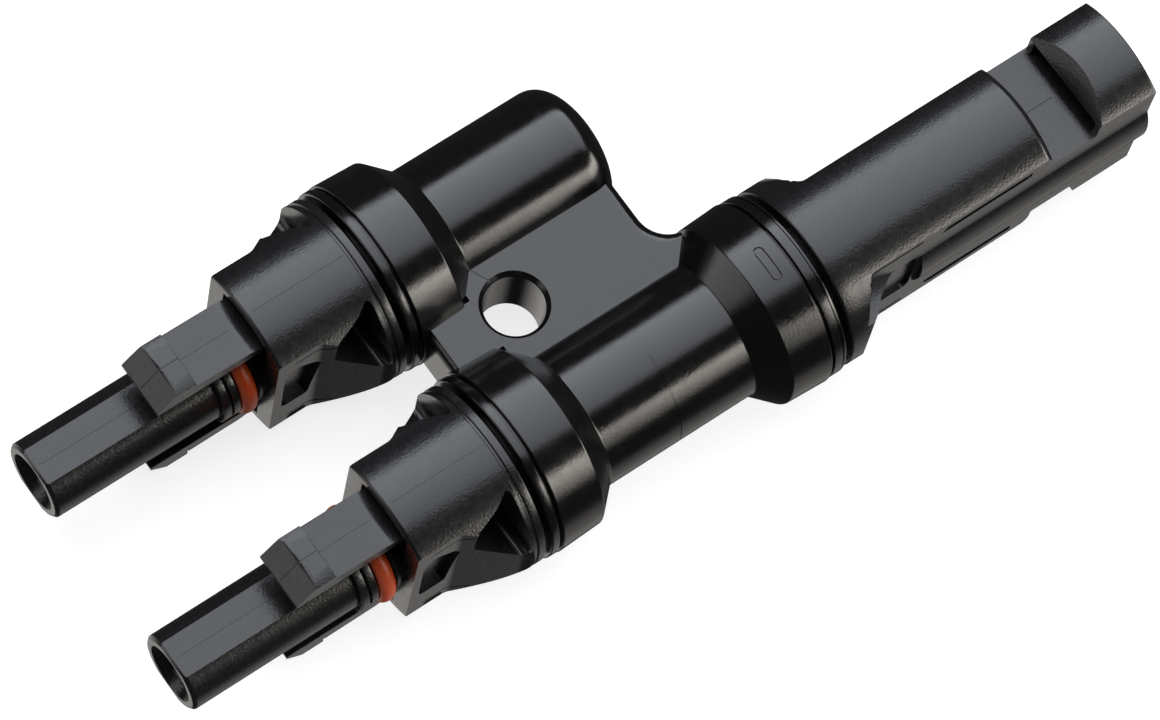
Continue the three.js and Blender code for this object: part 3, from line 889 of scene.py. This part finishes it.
def pin_contact():
    corners = [
        (77.7, 0),
        (77.7, 2),
        (99.5, 2, 0.6),
        (100.3, 1.3, 0.5),
        (100.6, 0),
    ]
    pin = lathe(rounded(corners, closed=False), SMALL)
    crimp_outline = [(68, 0), (68, 2.3), (74.6, 2.3), (74.6, 2.1), (76, 2.1), (76, 2.68), (77.71, 2.68)]
    crimp = lathe([*crimp_outline, (77.71, 0)], SMALL)
    return place(join(pin, crimp), "contact_pin", "contact", ROOT, "pin_contact")


# ---- the model -------------------------------------------------------------------------

moulded_body()
for branch_name, branch_y in (("main", 0), ("side", SPACING)):
    socket_branch(branch_name, branch_y)
pin_shell()
pin_contact()

slot_of = {entry["node"]: entry["material_slot"] for entry in frame["record"]["subparts"]}
for node_name, node in frame["nodes"].items():
    node.data.materials.clear()
    node.data.materials.append(materials[slot_of[node_name]])
    node.data.shade_smooth()
    node.data.set_sharp_from_angle(angle=math.radians(30))

# ---- floor, lights and camera ----------------------------------------------------------


def floor():
    bm = bmesh.new()
    bmesh.ops.create_grid(bm, x_segments=1, y_segments=1, size=2.5)
    obj = new_object("floor", bm)
    shader = Shader("pale floor", Roughness=0.8, Emission_Color=(1, 1, 1, 1), Emission_Strength=0.8)
    shader.tinted(shader.noise(8), (0.34, 0.34, 0.34), (0.36, 0.36, 0.36))
    obj.data.materials.append(shader.material)
    obj.visible_glossy = False


def softbox(name, across, along, distance, facing, colour, low, high):
    """A glowing panel that faces the connector. It is brighter towards its +y edge.

    Across is its size in metres across the branches and along its size along them. Facing is a
    pair of angles in degrees from straight up, one towards +y and one towards +x. Low and high
    are its radiance.
    """
    bm = bmesh.new()
    bmesh.ops.create_grid(bm, x_segments=1, y_segments=1, size=0.5)
    panel = new_object(name, bm)
    lean, tilt = (math.radians(angle) for angle in facing)
    turn = Matrix.Rotation(-lean, 4, "X") @ Matrix.Rotation(tilt, 4, "Y")
    size = Matrix.Diagonal((along, across, 1, 1))
    panel.matrix_world = turn @ Matrix.Translation((0, 0, distance)) @ size
    material = bpy.data.materials.new(name)
    material.use_nodes = True
    tree = material.node_tree
    tree.nodes.clear()
    output = tree.nodes.new("ShaderNodeOutputMaterial")
    glow = tree.nodes.new("ShaderNodeEmission")
    glow.inputs["Color"].default_value = (*colour, 1)
    place_node = tree.nodes.new("ShaderNodeTexCoord")
    split = tree.nodes.new("ShaderNodeSeparateXYZ")
    spread = tree.nodes.new("ShaderNodeMapRange")
    for socket, value in (("From Min", -0.5), ("From Max", 0.5), ("To Min", low), ("To Max", high)):
        spread.inputs[socket].default_value = value
    tree.links.new(place_node.outputs["Object"], split.inputs["Vector"])
    tree.links.new(split.outputs["Y"], spread.inputs["Value"])
    tree.links.new(spread.outputs["Result"], glow.inputs["Strength"])
    tree.links.new(glow.outputs["Emission"], output.inputs["Surface"])
    panel.data.materials.append(material)
    panel.visible_camera = False
    panel.visible_shadow = False


DIMNESS = 0.015  # strength of the surroundings away from the glows

# direction of each glow, cosine of the angle at which it fades out, and its strength
GLOWS = (
    ((-0.45, 0.45, -0.77), 0.75, 0.95),
    ((0.35, -0.45, -0.82), 0.86, 0.45),
)


def world():
    """Dim surroundings, with a pale glow below the probes and a weaker one beside the main branch."""
    scene_world = bpy.data.worlds.new("studio")
    scene_world.use_nodes = True
    tree = scene_world.node_tree
    background = tree.nodes["Background"]
    direction = tree.nodes.new("ShaderNodeTexCoord").outputs["Generated"]
    total = None
    for axis, edge, strength in GLOWS:
        toward = tree.nodes.new("ShaderNodeVectorMath")
        toward.operation = "DOT_PRODUCT"
        toward.inputs[1].default_value = Vector(axis).normalized()
        spread = tree.nodes.new("ShaderNodeMapRange")
        spread.interpolation_type = "SMOOTHSTEP"
        limits = (("From Min", edge), ("From Max", 0.98), ("To Min", DIMNESS), ("To Max", strength))
        for socket, value in limits:
            spread.inputs[socket].default_value = value
        tree.links.new(direction, toward.inputs[0])
        tree.links.new(toward.outputs["Value"], spread.inputs["Value"])
        if total is None:
            total = spread.outputs["Result"]
        else:
            add = tree.nodes.new("ShaderNodeMath")
            tree.links.new(total, add.inputs[0])
            tree.links.new(spread.outputs["Result"], add.inputs[1])
            total = add.outputs["Value"]
    tree.links.new(total, background.inputs["Strength"])
    background.inputs["Color"].default_value = (1, 0.97, 0.93, 1)
    bpy.context.scene.world = scene_world


def camera():
    """A view from above, turned and rolled so that the branches rise to the right."""
    azimuth, elevation, roll = (math.radians(a) for a in (-50.7165, 67.5006, 16.2334))
    level = Vector((math.cos(azimuth), math.sin(azimuth), 0))
    ahead = Vector((math.sin(azimuth), -math.cos(azimuth), 0))
    back = ahead * math.cos(elevation) + Vector((0, 0, math.sin(elevation)))
    upward = back.cross(level)
    right = level * math.cos(roll) + upward * math.sin(roll)
    up = upward * math.cos(roll) - level * math.sin(roll)
    data = bpy.data.cameras.new("camera")
    data.lens = 197.84
    data.sensor_width = 36
    data.clip_start = 0.01
    data.clip_end = 20
    obj = bpy.data.objects.new("camera", data)
    bpy.context.scene.collection.objects.link(obj)
    where = TO_FRAME @ Vector((-123.04, -135.48, 532.82))
    obj.matrix_world = Matrix.Translation(where) @ Matrix((right, up, back)).transposed().to_4x4()
    bpy.context.scene.camera = obj


floor()
softbox("overhead softbox", 0.84, 1.0, 0.6, (15, 17), (0.9, 0.94, 1.0), 1.7, 4.7)
softbox("warm side strip", 0.34, 0.5, 0.62, (-70, 38), (1.0, 0.95, 0.87), 0.4, 11.0)
softbox("front fill", 0.44, 0.44, 0.6, (54, -58), (1.0, 0.99, 0.98), 1.2, 2.0)
world()
camera()
bpy.context.scene.view_settings.view_transform = "Standard"
